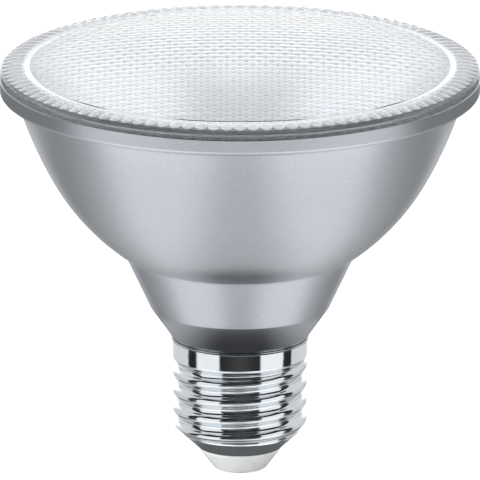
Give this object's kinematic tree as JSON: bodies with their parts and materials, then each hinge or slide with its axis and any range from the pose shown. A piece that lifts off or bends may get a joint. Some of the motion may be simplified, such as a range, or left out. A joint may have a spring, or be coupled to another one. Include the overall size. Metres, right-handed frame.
{
  "type": "led spotlight bulb",
  "caption": "Reflector-shaped LED spotlight bulb: silver bowl and neck, clear pebbled front lens, bright screw cap with a white insulator and a centre contact.",
  "frame": {"origin": "centre of the contact face at the lamp's lower end", "axes": "+Z along the lamp's axis from the contact to the lens; the driver board faces +Y"},
  "size_m": [0.094, 0.094, 0.0852],
  "materials": {
    "clear_lens": "clear moulded, pebbled face",
    "clear_silicone": "soft translucent",
    "silver_lacquer": "satin silver lacquer over aluminium",
    "mirror_coat": "metallised inside",
    "plain_aluminium": "turned",
    "grey_pad": "soft matte",
    "white_board": "white solder resist on metal core",
    "white_silicone": "satin",
    "yellow_phosphor": "soft gel",
    "screw_steel": "zinc plated",
    "liner_plastic": "moulded",
    "green_board": "solder resist",
    "capacitor_sleeve": "shrink sleeve",
    "dark_ferrite": "sintered",
    "yellow_tape": "polyester tape",
    "film_box": "dipped",
    "black_epoxy": "moulded",
    "resistor_coat": "flameproof coat",
    "red_wire": "insulated wire",
    "black_wire": "insulated wire",
    "bright_nickel": "bright nickel plate",
    "white_plastic": "smooth moulded"
  },
  "bodies": {
    "root": {"front_lens": "clear_lens", "lens_seal": "clear_silicone", "housing": "silver_lacquer", "reflector": "mirror_coat", "heat_spreader": "plain_aluminium", "thermal_pad": "grey_pad", "led_board": "white_board", "led_dam": "white_silicone", "led_phosphor": "yellow_phosphor", "board_screws": "screw_steel", "driver_liner": "liner_plastic", "driver_board": "green_board", "bulk_capacitor": "capacitor_sleeve", "transformer_core": "dark_ferrite", "transformer_winding": "yellow_tape", "film_capacitor": "film_box", "bridge_rectifier": "black_epoxy", "filter_choke": "dark_ferrite", "driver_chip": "black_epoxy", "fuse_resistor": "resistor_coat", "live_lead": "red_wire", "neutral_lead": "black_wire", "led_lead_plus": "red_wire", "led_lead_minus": "black_wire", "cap_shell": "bright_nickel", "cap_insulator": "white_plastic", "contact_plate": "bright_nickel"}
  },
  "joints": []
}
